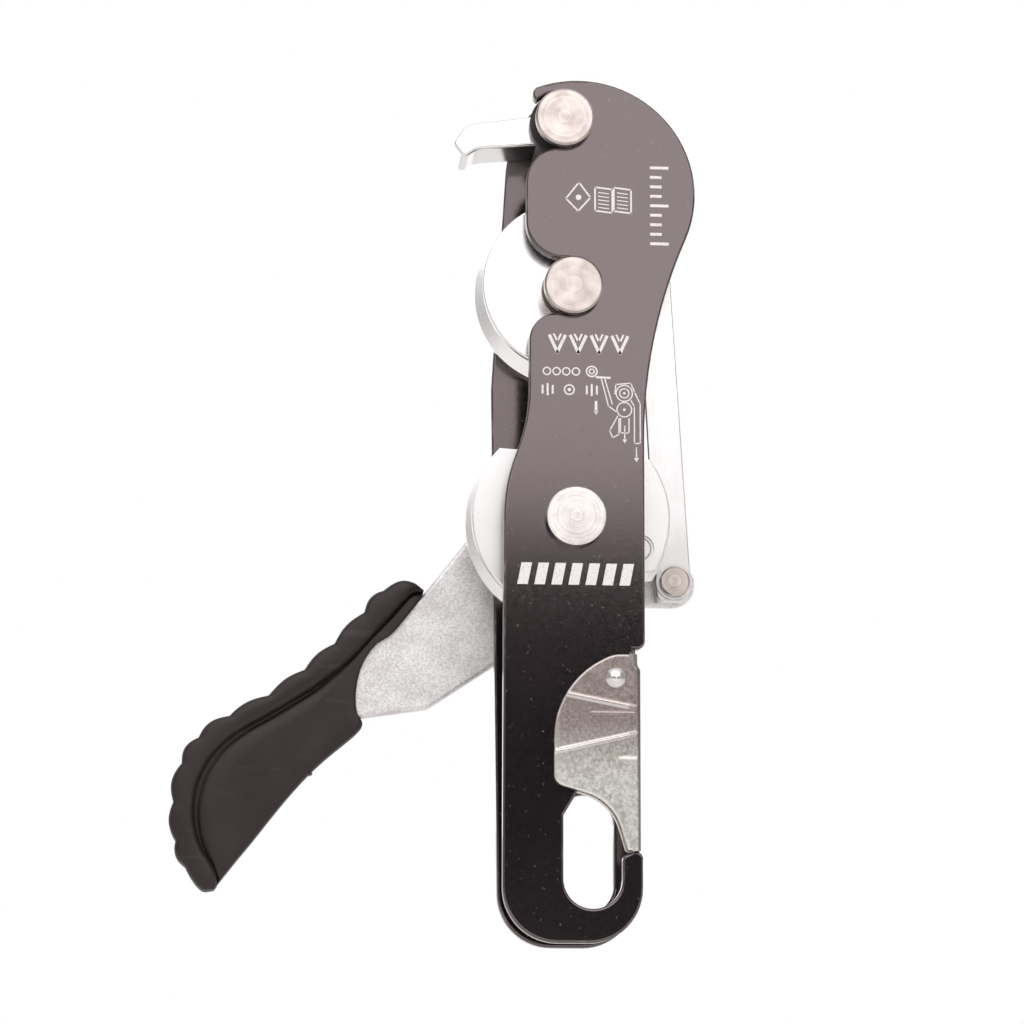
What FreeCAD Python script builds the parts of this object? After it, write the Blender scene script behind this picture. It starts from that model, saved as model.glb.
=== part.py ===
import FreeCAD, Part
import math
import os

import Sketcher
from FreeCAD import Placement, Rotation, Vector

# Self-braking rope descender. X points right, Z up and Y back through the plates.
# The origin is the centre of the connector eye, half way between the side plates.

DIMENSIONS = [
    # side plates
    ("plate_thick", 4.0), ("front_y", -13.0), ("back_y", 9.0), ("plate_round", 0.7),
    ("plate_left", -22.8), ("plate_right", 13.3), ("plate_bottom", -24.0),
    ("bottom_radius", 13.8), ("neck_left", -16.4), ("neck_low_z", 84.0), ("neck_top_z", 118.0),
    ("lobe_left", -17.3), ("lobe_radius", 9.7), ("chin_radius", 7.2),
    ("head_x", -3.5), ("head_z", 170.0), ("head_arc", 30.3), ("flank_arc", 137.0),
    ("notch_radius", 7.4), ("notch_shift", 1.7), ("notch_rise", 0.3),
    # connector eye and hook
    ("eye_radius", 7.5), ("eye_low_z", -7.9), ("back_eye_radius", 7.6), ("back_eye_half", 7.7),
    ("hook_right", 12.6), ("hook_tip_z", -0.9), ("mouth_top_z", 50.3), ("mouth_edge_x", 10.3),
    # axes
    ("axle_x", -4.5), ("axle_z", 84.0), ("mid_x", -5.2), ("mid_z", 144.6),
    ("top_x", -7.5), ("top_z", 189.4), ("link_low_x", 24.1), ("link_low_z", 72.0),
    ("link_top_x", 17.53), ("link_top_z", 178.0), ("drive_x", 12.9), ("drive_z", 77.5),
    ("gate_pin_x", 5.6), ("gate_pin_z", 42.8),
    # studs and shafts
    ("stud_head", 7.6), ("stud_head_y", -16.2), ("stud_bevel", 0.5), ("stud_rim", 2.4),
    ("neck_gap", 0.3), ("stud_neck", 5.4), ("stud_boss", 7.8), ("boss_y", -6.0),
    ("shaft", 5.0), ("fit", 0.05), ("bush_outer", 6.5), ("rear_head", 7.2), ("rear_head_thick", 1.8),
    ("spacer_outer", 8.6), ("washer_outer", 9.0), ("washer_thick", 1.0), ("nut_radius", 8.0),
    ("nut_thick", 3.4),
    # upper bobbin
    ("bobbin_x", -5.3), ("bobbin_z", 146.8), ("bobbin_front", 22.7), ("bobbin_rear", 24.0),
    ("bobbin_wide", 15.0), ("bobbin_root", 16.0), ("rim_front", 1.9), ("rim_rear", 2.1),
    ("rim_round", 0.5), ("dowel_radius", 2.0), ("dowel_x", 4.0), ("dowel_z", 153.5),
    # braking cam
    ("cam_x", -4.9), ("cam_z", 85.5), ("cam_radius", 25.7), ("cam_rear_extra", 0.8),
    ("cam_wide", 14.4), ("cam_y", -5.7), ("cam_top", 16.7), ("cam_bottom", 16.8),
    ("cam_bottom_tilt", 9.0), ("cam_top_tilt", -3.5), ("cam_groove", 7.0),
    ("drive_radius", 3.0), ("drive_recess", 3.7), ("drive_recess_deep", 0.8),
    # brake horn and rocker
    ("horn_wide", 14.7), ("horn_boss", 8.2), ("horn_round", 0.8),
    ("rocker_thick", 3.2), ("rocker_y", 17.0), ("rocker_big", 8.6), ("rocker_small", 6.0),
    ("hub_y", 14.1), ("pin_radius", 3.0), ("pin_clear", 0.25), ("pin_head", 4.3),
    ("pin_head_thick", 1.2),
    # link bar
    ("link_y", 13.5), ("link_thick", 3.0), ("link_bottom_z", 66.7), ("link_right", 28.9),
    ("link_left", 19.4), ("link_half_top", 4.5), ("link_top_over", 5.0),
    ("link_pin", 2.8), ("link_bush", 4.0), ("link_pin_head", 3.95), ("link_pin_y", 11.6),
    ("link_washer", 4.8), ("link_round", 0.5),
    # handle
    ("handle_y", 17.0), ("handle_thick", 4.0), ("handle_round", 1.0),
    ("arm_half", 6.0), ("grip_y", 13.6), ("grip_thick", 10.8), ("grip_panel", 2.0),
    ("scallop_rise", 1.2),
    # springs, stop and gate
    ("stop_radius", 2.0), ("stop_x", 9.0), ("stop_gap", 0.3),
    ("coil_radius", 8.2), ("coil_wire", 0.5), ("coil_pitch", 1.1), ("coil_turns", 2),
    ("leg_long", 9.0), ("gate_coil_radius", 3.3), ("gate_coil_wire", 0.3), ("gate_coil_turns", 3),
    ("gate_pit_radius", 4.5), ("gate_pit_deep", 2.0),
    ("gate_sheet", 0.9), ("gate_clear", 0.25), ("gate_right", 12.0), ("gate_round", 0.35),
    ("gate_rivet", 1.9), ("gate_rivet_head", 2.8), ("gate_dome", 1.5),
    ("ridge_rise", 0.3), ("ridge_half", 0.45),
]

doc = FreeCAD.newDocument("RopeDescender")
sheet = doc.addObject("Spreadsheet::Sheet", "dims")
for row, (alias, value) in enumerate(DIMENSIONS, start=1):
    sheet.set("A%d" % row, alias)
    sheet.set("B%d" % row, str(value))
    sheet.setAlias("B%d" % row, alias)
doc.recompute()

nodes = {}


def dim(alias):
    """A driving dimension, read from the sheet."""
    return float(sheet.get(alias))


def expr(text):
    """An expression over the sheet: {name} stands for that cell."""
    return text.format(**{alias: "dims." + alias for alias, _ in DIMENSIONS})


def name_node(label, obj):
    obj.Label = label
    nodes[label] = obj
    return obj


def bind_place(obj, x, y, z):
    for axis, text in (("x", x), ("y", y), ("z", z)):
        obj.setExpression("Placement.Base." + axis, expr(text))


# ---------------------------------------------------------------- turned pieces

def turned_step(radius, length, x, y, z, end_radius=None):
    """One cylinder, or a cone where the end radius differs, whose axis runs along +Y."""
    if end_radius is None:
        step = doc.addObject("Part::Cylinder", "step")
        step.setExpression("Radius", expr(radius))
    else:
        step = doc.addObject("Part::Cone", "bevel")
        step.setExpression("Radius1", expr(radius))
        step.setExpression("Radius2", expr(end_radius))
    step.setExpression("Height", expr(length))
    step.Placement = Placement(Vector(), Rotation(Vector(1, 0, 0), -90))
    bind_place(step, x, y, z)
    return step


def turned(label, x, z, front, steps, hole=None):
    """Coaxial steps laid end to end from the front face backwards, with an optional bore."""
    solids = []
    start = front
    for step in steps:
        radius, length = step[0], step[1]
        end_radius = step[2] if len(step) > 2 else None
        solids.append(turned_step(radius, length, x, start, z, end_radius))
        start = "%s + %s" % (start, length)
    body = solids[0]
    if len(solids) > 1:
        body = doc.addObject("Part::MultiFuse", "turned")
        body.Shapes = solids
        body.Refine = True
    if hole:
        drill = turned_step(hole, "%s - (%s) + 2" % (start, front), x, front + " - 1", z)
        body = cut(body, drill)
    return name_node(label, body)


def take_in(*solids):
    """A solid that goes into another is no longer a node of its own."""
    for solid in solids:
        nodes.pop(solid.Label, None)


def cut(base, tool):
    take_in(base)
    result = doc.addObject("Part::Cut", "cut")
    result.Base = base
    result.Tool = tool
    return result


def fuse(*solids):
    take_in(*solids)
    result = doc.addObject("Part::MultiFuse", "fuse")
    result.Shapes = list(solids)
    return result


# ---------------------------------------------------------------- outlines

class Outline:
    """A closed outline in the plane of the plates, drawn edge by edge."""

    def __init__(self, x, z):
        self.start = Vector(x, z, 0)
        self.at = self.start
        self.edges = []

    def to(self, x, z):
        end = Vector(x, z, 0)
        if end.distanceToPoint(self.at) > 1e-6:
            self.edges.append(Part.LineSegment(self.at, end))
            self.at = end
        return self

    def through(self, mid_x, mid_z, x, z):
        end = Vector(x, z, 0)
        self.edges.append(Part.Arc(self.at, Vector(mid_x, mid_z, 0), end))
        self.at = end
        return self

    def around(self, x, z, centre_x, centre_z, clockwise):
        """An arc about a centre to the point x, z."""
        first = math.atan2(self.at.y - centre_z, self.at.x - centre_x)
        last = math.atan2(z - centre_z, x - centre_x)
        turn = (last - first) % (2 * math.pi)
        if clockwise:
            turn -= 2 * math.pi
        radius = math.hypot(x - centre_x, z - centre_z)
        middle = first + turn / 2
        return self.through(centre_x + radius * math.cos(middle),
                            centre_z + radius * math.sin(middle), x, z)

    def corner(self, x, z, radius, next_x, next_z):
        """A straight run to a corner that is rounded towards the next point."""
        point = Vector(x, z, 0)
        back = (self.at - point).normalize()
        ahead = (Vector(next_x, next_z, 0) - point).normalize()
        half = back.getAngle(ahead) / 2
        reach = radius / math.tan(half)
        begin = point + back * reach
        end = point + ahead * reach
        toward = (back + ahead).normalize()
        middle = point + toward * (radius / math.sin(half) - radius)
        self.to(begin.x, begin.y)
        return self.through(middle.x, middle.y, end.x, end.y)

    def bend(self, x, z, end_x, end_z):
        """A straight run to a corner that is rounded so that its arc ends at a given point."""
        point = Vector(x, z, 0)
        ahead = Vector(end_x, end_z, 0) - point
        half = (self.at - point).getAngle(ahead) / 2
        return self.corner(x, z, ahead.Length * math.tan(half), end_x, end_z)

    def close(self):
        return self.to(self.start.x, self.start.y).edges


def rounded(points):
    """A polygon of x, z, radius corners."""
    first, last = points[0], points[-1]
    outline = Outline((first[0] + last[0]) / 2, (first[1] + last[1]) / 2)
    for index, (x, z, radius) in enumerate(points):
        if index + 1 < len(points):
            ahead = points[index + 1]
        else:
            ahead = (outline.start.x, outline.start.y)
        if radius:
            outline.corner(x, z, radius, ahead[0], ahead[1])
        else:
            outline.to(x, z)
    return outline.close()


def two_circle_strap(x1, z1, r1, x2, z2, r2):
    """The outline of a belt round two circles."""
    along = math.atan2(z2 - z1, x2 - x1)
    lean = math.acos((r1 - r2) / math.hypot(x2 - x1, z2 - z1))

    def rim(x, z, radius, angle):
        return x + radius * math.cos(angle), z + radius * math.sin(angle)

    outline = Outline(*rim(x1, z1, r1, along + lean))
    outline.around(*rim(x1, z1, r1, along - lean), x1, z1, clockwise=False)
    outline.to(*rim(x2, z2, r2, along - lean))
    outline.around(*rim(x2, z2, r2, along + lean), x2, z2, clockwise=False)
    return outline.close()


# ---------------------------------------------------------------- plate bodies

def new_body(label, x, y, z):
    """A body that is its own node until something else takes it in."""
    body = doc.addObject("PartDesign::Body", label)
    bind_place(body, x, y, z)
    return name_node(label, body)


def sketch_on(body, name, role, edges):
    """A sketch on one of the body's own origin planes."""
    sketch = body.newObject("Sketcher::SketchObject", name)
    plane = [item for item in body.Origin.OriginFeatures if item.Role == role][0]
    sketch.AttachmentSupport = [(plane, "")]
    sketch.MapMode = "FlatFace"
    sketch.addGeometry(edges, False)
    return sketch


def pad(body, sketch, length, backwards=True):
    """A pad that grows backwards, along +Y, from its sketch."""
    feature = body.newObject("PartDesign::Pad", "Pad")
    feature.Profile = sketch
    feature.setExpression("Length", expr(length))
    feature.Reversed = backwards
    doc.recompute()
    return feature


def plate(label, y, edges, thickness, edge_radius, holes=()):
    """A flat plate cut to an outline, its front face at y, drilled and then rounded at its rims."""
    body = new_body(label, "0", y, "0")
    pad(body, sketch_on(body, "Outline", "XZ_Plane", edges), thickness)
    if holes:
        drill(body, holes)
    round_rims(body, edge_radius)
    return body


def round_rims(body, radius):
    """Rounds the long rims of the front and the back face; the round holes stay sharp."""
    solid = body.Tip
    box = solid.Shape.BoundBox
    rims = []
    for index, edge in enumerate(solid.Shape.Edges, start=1):
        span = edge.BoundBox
        flat = span.YLength < 1e-6
        outer = min(abs(span.YMin - box.YMin), abs(span.YMax - box.YMax)) < 1e-6
        if flat and outer and not edge.isClosed():
            rims.append("Edge%d" % index)
    fillet = body.newObject("PartDesign::Fillet", "Rims")
    fillet.Base = (solid, rims)
    fillet.setExpression("Radius", expr(radius))
    doc.recompute()


def pocket(body, sketch, through=True, depth=None):
    """Cuts a sketch out of the body and makes sure that something went."""
    before = body.Shape.Volume
    feature = body.newObject("PartDesign::Pocket", "Pocket")
    feature.Profile = sketch
    if through:
        feature.Type = "ThroughAll"
    else:
        feature.setExpression("Length", expr(depth))
    doc.recompute()
    after = body.Shape.Volume if body.Shape.Solids else 0.0
    if not 0.0 < after < before - 1e-3:
        raise RuntimeError("pocket in %s went from %.1f to %.1f" % (body.Label, before, after))
    return feature


def hole_sketch(body, holes):
    """Circles, each bound to the sheet by its centre and radius."""
    sketch = sketch_on(body, "Holes", "XZ_Plane", [])
    for x, z, radius in holes:
        circle = Part.Circle(Vector(1, 1, 0), Vector(0, 0, 1), 1)
        index = sketch.addGeometry(circle, False)
        for kind, text in (("DistanceX", x), ("DistanceY", z)):
            start = 1.0
            which = sketch.addConstraint(Sketcher.Constraint(kind, -1, 1, index, 3, start))
            sketch.setExpression("Constraints[%d]" % which, expr(text))
        which = sketch.addConstraint(Sketcher.Constraint("Radius", index, 1.0))
        sketch.setExpression("Constraints[%d]" % which, expr(radius))
    doc.recompute()
    return sketch


def drill(body, holes):
    """Drills straight through, and makes sure that every hole has its bore in a leaf or in two."""
    wanted = len(holes) + sum(1 for face in body.Shape.Faces if is_bore(face))
    pocket(body, hole_sketch(body, holes))
    found = sum(1 for face in body.Shape.Faces if is_bore(face))
    if found < wanted:
        raise RuntimeError("%s has %d of its %d holes" % (body.Label, found, wanted))


def is_bore(face):
    """Whether a face is a whole cylinder, as a drilled hole is."""
    if face.Surface.TypeId != "Part::GeomCylinder":
        return False
    first, last = face.ParameterRange[:2]
    return last - first > 2 * math.pi - 1e-3


def revolved(label, x, y, z, edges):
    """A body turned about its own Y axis from a half section of radius, depth."""
    body = new_body(label, x, y, z)
    section = sketch_on(body, "Section", "XY_Plane", edges)
    turn = body.newObject("PartDesign::Revolution", "Turn")
    turn.Profile = section
    turn.ReferenceAxis = (section, ["V_Axis"])
    turn.Angle = 360.0
    doc.recompute()
    return body


# ---------------------------------------------------------------- shared shapes

def flank_points():
    """Where the head circle meets the hollow flank, and where the flank turns straight."""
    right, flank = dim("plate_right"), dim("flank_arc")
    head_x, head_z, head = dim("head_x"), dim("head_z"), dim("head_arc")
    centre_x = right + flank
    drop = math.sqrt((head + flank) ** 2 - (centre_x - head_x) ** 2)
    centre_z = head_z - drop
    share = head / (head + flank)
    meet_x = head_x + (centre_x - head_x) * share
    meet_z = head_z + (centre_z - head_z) * share
    return meet_x, meet_z, centre_x, centre_z


def lobe_touch(lobe_left, lobe_radius, notch_x, notch_z, above):
    """The centre of a lobe that rolls smoothly into a notch, and the touching point."""
    centre_x = lobe_left + lobe_radius
    notch = dim("notch_radius")
    rise = math.sqrt((lobe_radius + notch) ** 2 - (centre_x - notch_x) ** 2)
    centre_z = notch_z + rise if above else notch_z - rise
    share = lobe_radius / (lobe_radius + notch)
    touch_x = centre_x + (notch_x - centre_x) * share
    touch_z = centre_z + (notch_z - centre_z) * share
    return centre_x, centre_z, touch_x, touch_z


# ---------------------------------------------------------------- fixed frame

def make_back_plate():
    left, right, bottom = dim("plate_left"), dim("plate_right"), dim("plate_bottom")
    radius = dim("bottom_radius")
    meet_x, meet_z, flank_x, flank_z = flank_points()
    head_x, head_z, head = dim("head_x"), dim("head_z"), dim("head_arc")
    shoulder_x, shoulder_z = -20.6, 189.0
    waist_x, waist_z = -24.7, 122.0
    low_x = left + 0.25
    slot_left, slot_top, slot_bottom = 9.0, 92.8, 73.3
    slot_round, lip_round = 2.5, 1.2
    crown, crown_reach = math.radians(105.3), 2.5
    crown_x = head_x + head * math.cos(crown)
    crown_z = head_z + head * math.sin(crown)
    peak_x = crown_x - crown_reach * math.sin(crown)
    peak_z = crown_z + crown_reach * math.cos(crown)
    outline = Outline(low_x, bottom + radius)
    outline.to(waist_x, waist_z)
    outline.corner(shoulder_x, shoulder_z, 30.0, peak_x, peak_z)
    outline.bend(peak_x, peak_z, crown_x, crown_z)
    outline.around(meet_x, meet_z, head_x, head_z, clockwise=True)
    outline.around(right, flank_z, flank_x, flank_z, clockwise=False)
    outline.corner(right, slot_top, lip_round, slot_left, slot_top)
    outline.corner(slot_left, slot_top, slot_round, slot_left, slot_bottom)
    outline.corner(slot_left, slot_bottom, slot_round, right, slot_bottom)
    outline.corner(right, slot_bottom, lip_round, right, bottom)
    outline.to(right, bottom + radius)
    outline.around(right - radius, bottom, right - radius, bottom + radius, clockwise=True)
    outline.to(low_x + radius, bottom)
    outline.around(low_x, bottom + radius, low_x + radius, bottom + radius, clockwise=True)
    body = new_body("back_plate", "0", "{back_y}", "0")
    pad(body, sketch_on(body, "Outline", "XZ_Plane", outline.close()), "{plate_thick}")
    eye, half = dim("back_eye_radius"), dim("back_eye_half")
    slot = Outline(-eye, -half)
    slot.to(-eye, half).around(eye, half, 0, half, clockwise=True)
    slot.to(eye, -half).around(-eye, -half, 0, -half, clockwise=True)
    pocket(body, sketch_on(body, "Eye", "XZ_Plane", slot.close()))
    drill(body, [
        ("{axle_x}", "{axle_z}", "{shaft}"),
        ("{mid_x}", "{mid_z}", "{shaft}"),
        ("{top_x}", "{top_z}", "{bush_outer}"),
        ("{dowel_x}", "{dowel_z}", "{dowel_radius}"),
        ("{stop_x}", "{link_low_z} - {arm_half} - {stop_radius} - {stop_gap}", "{stop_radius}"),
    ])
    round_rims(body, "{plate_round}")


def make_upper_bobbin():
    wide, front, rear = dim("bobbin_wide"), dim("bobbin_front"), dim("bobbin_rear")
    root, soft = dim("bobbin_root"), dim("rim_round")
    middle = wide / 2 - 0.3
    section = Outline(0, 0)
    section.to(front - soft, 0)
    section.around(front, soft, front - soft, soft, clockwise=False)
    section.to(front, dim("rim_front"))
    section.to(root + 1.2, middle - 2.6)
    section.through(root, middle, root + 1.2, middle + 2.6)
    section.to(rear, wide - dim("rim_rear"))
    section.to(rear, wide - soft)
    section.around(rear - soft, wide, rear - soft, wide - soft, clockwise=False)
    section.to(0, wide)
    body = revolved("upper_bobbin", "{bobbin_x}", "{boss_y}", "{bobbin_z}", section.close())
    drill(body, [
        ("{mid_x} - {bobbin_x}", "{mid_z} - {bobbin_z}", "{shaft}"),
        ("{dowel_x} - {bobbin_x}", "{dowel_z} - {bobbin_z}", "{dowel_radius}"),
    ])


def stud_front():
    """The flat head, its bevel and the neck that a plate notch closes on."""
    return [
        ("{stud_head} - {stud_bevel}", "{stud_bevel}", "{stud_head}"),
        ("{stud_head}", "{stud_rim}"),
        ("{stud_neck}", "{plate_thick} + 2 * {neck_gap}"),
    ]


def make_frame_fasteners():
    through = "{back_y} + {plate_thick}"
    turned("bobbin_stud", "{mid_x}", "{mid_z}", "{stud_head_y}", stud_front() + [
        ("{stud_boss}", "{boss_y} - {front_y} - {plate_thick} - {neck_gap}"),
        ("{shaft}", through + " - {boss_y}"),
        ("{rear_head}", "{rear_head_thick}"),
    ])
    turned("bobbin_dowel", "{dowel_x}", "{dowel_z}", "{back_y} - 5",
           [("{dowel_radius}", "{plate_thick} + 5")])
    washer_y = "{handle_y} + {handle_thick} + {neck_gap}"
    turned("lower_axle", "{axle_x}", "{axle_z}", "{stud_head_y}", [
        ("{stud_head} - {stud_bevel} / 2", "{stud_bevel} / 2", "{stud_head}"),
        ("{stud_head}", "{stud_rim} + {stud_bevel} / 2"),
        ("{shaft}", washer_y + " + {washer_thick} - {front_y} + {neck_gap}"),
        ("{rear_head}", "{rear_head_thick}"),
    ])
    turned("axle_spacer", "{axle_x}", "{axle_z}", "{front_y} + {plate_thick} + {neck_gap}",
           [("{stud_boss}", "{boss_y} - {front_y} - {plate_thick} - {neck_gap}")], "{shaft}")
    turned("axle_washer", "{axle_x}", "{axle_z}", washer_y,
           [("{washer_outer}", "{washer_thick}")], "{shaft}")
    turned("handle_stop_pin", "{stop_x}",
           "{link_low_z} - {arm_half} - {stop_radius} - {stop_gap}", "{back_y}",
           [("{stop_radius}", "{handle_y} + {handle_thick} - {back_y} - 0.5")])
    turned("shaft_bush", "{top_x}", "{top_z}", "{back_y}",
           [("{bush_outer}", "{plate_thick}"), ("{stud_boss}", "0.8")], "{shaft} + {fit}")


def coil_spring(label, x, y, z, radius, wire, pitch, turns, leg, leg_angles):
    """A close-wound torsion spring whose axis runs along +Y, with a straight leg at each end."""
    helix = Part.makeHelix(pitch, pitch * turns, radius)
    climb = pitch / (2 * math.pi * radius)
    ring = Part.Wire([Part.makeCircle(wire, Vector(radius, 0, 0), Vector(0, 1, climb))])
    coil = Part.Wire(helix).makePipeShell([ring], True, True)
    legs = []
    for end, angle in zip((0.0, pitch * turns), leg_angles):
        heading = Vector(math.cos(math.radians(angle)), math.sin(math.radians(angle)), 0)
        start = Vector(radius, 0, end) - heading * wire
        legs.append(Part.makeCylinder(wire, leg, start, heading))
    spring = doc.addObject("Part::Feature", label)
    spring.Shape = coil.fuse(legs)
    spring.Placement = Placement(Vector(x, y, z), Rotation(Vector(1, 0, 0), -90))
    return name_node(label, spring)


def ring_spring(label, x, y, z, radius, wire, turns):
    """A small spring as close wire rings, each pressed slightly into the one before."""
    rings = []
    for turn in range(turns):
        ring = doc.addObject("Part::Torus", "ring")
        ring.setExpression("Radius1", expr(radius))
        ring.setExpression("Radius2", expr(wire))
        ring.Placement = Placement(Vector(), Rotation(Vector(1, 0, 0), -90))
        bind_place(ring, x, "%s + %d * 1.9 * %s" % (y, turn, wire), z)
        rings.append(ring)
    return name_node(label, fuse(*rings))


def make_springs():
    wire, turns, pitch = dim("coil_wire"), dim("coil_turns"), dim("coil_pitch")
    middle = (dim("back_y") + dim("plate_thick") + dim("handle_y")) / 2
    coil_spring("return_spring", dim("axle_x"), middle - pitch * turns / 2, dim("axle_z"),
                dim("coil_radius"), wire, pitch, turns, dim("leg_long"), (-90, 90))
    pit_floor = "{front_y} + {plate_thick} - {gate_pit_deep}"
    ring_spring("gate_spring", "{gate_pin_x}", pit_floor + " + {gate_coil_wire} + 0.1",
                "{gate_pin_z}", "{gate_coil_radius}", "{gate_coil_wire}",
                int(dim("gate_coil_turns")))


# ---------------------------------------------------------------- brake

def make_brake():
    top_x, top_z, boss = dim("top_x"), dim("top_z"), dim("horn_boss")
    low_z = 184.5
    low_x = top_x - math.sqrt(boss ** 2 - (top_z - low_z) ** 2)
    high_z = 192.3
    high_x = top_x - math.sqrt(boss ** 2 - (high_z - top_z) ** 2)
    horn = Outline(high_x, high_z)
    horn.around(low_x, low_z, top_x, top_z, clockwise=True)
    horn.corner(-29.6, 183.0, 4.0, -33.2, 180.6)
    horn.corner(-33.2, 180.6, 1.5, -36.0, 184.4)
    horn.corner(-36.0, 184.4, 1.6, -32.6, 189.8)
    horn.corner(-32.6, 189.8, 5.0, high_x, high_z)
    plate("brake_horn", "{boss_y}", horn.close(), "{horn_wide}", "{horn_round}",
          [("{top_x}", "{top_z}", "{shaft}")])

    nut_y = "{rocker_y} + {rocker_thick}"
    turned("horn_shaft", "{top_x}", "{top_z}", "{stud_head_y}", stud_front()[:2] + [
        ("{stud_neck}", "{boss_y} - {front_y} + {neck_gap}"),
        ("{shaft}", nut_y + " + {nut_thick} + 1 - {boss_y}"),
    ])
    turned("horn_spacer", "{top_x}", "{top_z}", "{front_y} + {plate_thick} + {neck_gap}",
           [("{spacer_outer}", "{boss_y} - {front_y} - {plate_thick} - {neck_gap}")],
           "{stud_neck}")
    strap = two_circle_strap(top_x, top_z, dim("rocker_big"),
                             dim("link_top_x"), dim("link_top_z"), dim("rocker_small"))
    rocker = plate("rocker_plate", "{rocker_y}", strap, "{rocker_thick}", "{plate_round}",
                   [("{top_x}", "{top_z}", "{shaft}"),
                    ("{link_top_x}", "{link_top_z}", "{pin_radius}")])
    hub = cut(turned_step("{stud_boss}", "{rocker_y} - {hub_y}", "{top_x}", "{hub_y}", "{top_z}"),
              turned_step("{shaft}", "{rocker_y}", "{top_x}", "{hub_y} - 1", "{top_z}"))
    name_node("rocker_arm", fuse(rocker, hub))

    nut = doc.addObject("Part::Prism", "nut")
    nut.Polygon = 6
    nut.setExpression("Circumradius", expr("{nut_radius}"))
    nut.setExpression("Height", expr("{nut_thick}"))
    nut.Placement = Placement(Vector(), Rotation(Vector(1, 0, 0), -90))
    bind_place(nut, "{top_x}", nut_y, "{top_z}")
    name_node("shaft_nut", cut(nut, turned_step("{shaft}", "{nut_thick} + 2", "{top_x}",
                                                nut_y + " - 1", "{top_z}")))
    turned("link_upper_pin", "{link_top_x}", "{link_top_z}", "{link_y} + 0.1", [
        ("{pin_radius}", nut_y + " - {link_y} - 0.1"),
        ("{pin_head}", "{pin_head_thick}", "{pin_head} - 0.6"),
    ])


# ---------------------------------------------------------------- link

def make_link():
    top_x, top_z, half = dim("link_top_x"), dim("link_top_z"), dim("link_half_top")
    end_z = top_z + dim("link_top_over")
    bottom = dim("link_bottom_z")
    edges = rounded([
        (dim("link_left"), bottom, 2.2),
        (top_x - half, end_z, half - 0.2),
        (top_x + half - 0.3, end_z, half - 0.2),
        (dim("link_right"), bottom, 2.6),
    ])
    plate("link_bar", "{link_y}", edges, "{link_thick}", "{link_round}",
          [("{link_low_x}", "{link_low_z}", "{link_bush}"),
           ("{link_top_x}", "{link_top_z}", "{pin_radius} + {pin_clear}")])
    turned("link_bush", "{link_low_x}", "{link_low_z}", "{link_y}",
           [("{link_bush}", "{link_thick}")], "{link_pin} + {fit}")


# ---------------------------------------------------------------- handle

def cam_wire(inset, y):
    """The cam's rim: a circle with a flat top and a flat slanting bottom, moved in by inset."""
    centre_x, centre_z = dim("cam_x"), dim("cam_z")
    radius = dim("cam_radius") - inset
    corners = []
    for side, distance, tilt in (("top", dim("cam_top"), dim("cam_top_tilt")),
                                 ("bottom", dim("cam_bottom"), dim("cam_bottom_tilt"))):
        normal = math.radians(tilt + (90 if side == "top" else -90))
        spread = math.acos((distance - inset) / radius)
        corners.append(normal - spread)
        corners.append(normal + spread)

    def rim(angle):
        return Vector(centre_x + radius * math.cos(angle), y, centre_z + radius * math.sin(angle))

    top_right, top_left, bottom_left, bottom_right = corners
    left = (top_left + bottom_left + 2 * math.pi) / 2
    right = (top_right + bottom_right) / 2
    return Part.Wire([
        Part.makeLine(rim(top_right), rim(top_left)),
        Part.Arc(rim(top_left), rim(left), rim(bottom_left)).toShape(),
        Part.makeLine(rim(bottom_left), rim(bottom_right)),
        Part.Arc(rim(bottom_right), rim(right), rim(top_right)).toShape(),
    ])


def make_cam():
    front = dim("cam_y")
    wide, groove = dim("cam_wide"), dim("cam_groove")
    wider = -dim("cam_rear_extra")
    middle = front + wide / 2 - 0.3
    rim, bevel = dim("rim_front"), dim("rim_round")
    rear = front + wide
    stations = [
        (bevel, front), (bevel * 0.3, front + bevel * 0.3), (0, front + bevel),
        (0, front + rim), (groove - 1.2, middle - 2.6), (groove, middle - 1.2),
        (groove, middle + 1.2), (groove - 1.2, middle + 2.6), (wider, rear - rim),
        (wider, rear - bevel), (wider + bevel, rear),
    ]
    disc = doc.addObject("Part::Feature", "cam_disc")
    disc.Shape = Part.makeLoft([cam_wire(inset, y) for inset, y in stations], True, True)
    bore = turned_step("{bush_outer}", "{cam_wide} + 2", "{axle_x}", "{cam_y} - 1", "{axle_z}")
    pin_hole = turned_step("{drive_radius}", "{cam_wide} + 2", "{drive_x}", "{cam_y} - 1",
                           "{drive_z}")
    recess = turned_step("{drive_recess}", "{drive_recess_deep} + 1", "{drive_x}",
                         "{cam_y} - 1", "{drive_z}")
    name_node("lower_cam", cut(disc, fuse(bore, pin_hole, recess)))
    turned("cam_bush", "{axle_x}", "{axle_z}", "{cam_y}", [("{bush_outer}", "{cam_wide}")],
           "{shaft} + {fit}")
    turned("drive_pin", "{drive_x}", "{drive_z}", "{cam_y} + 0.2",
           [("{drive_radius} - 0.4", "0.4", "{drive_radius}"),
            ("{drive_radius}", "{handle_y} + {handle_thick} - {cam_y} - 0.6")])


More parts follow.
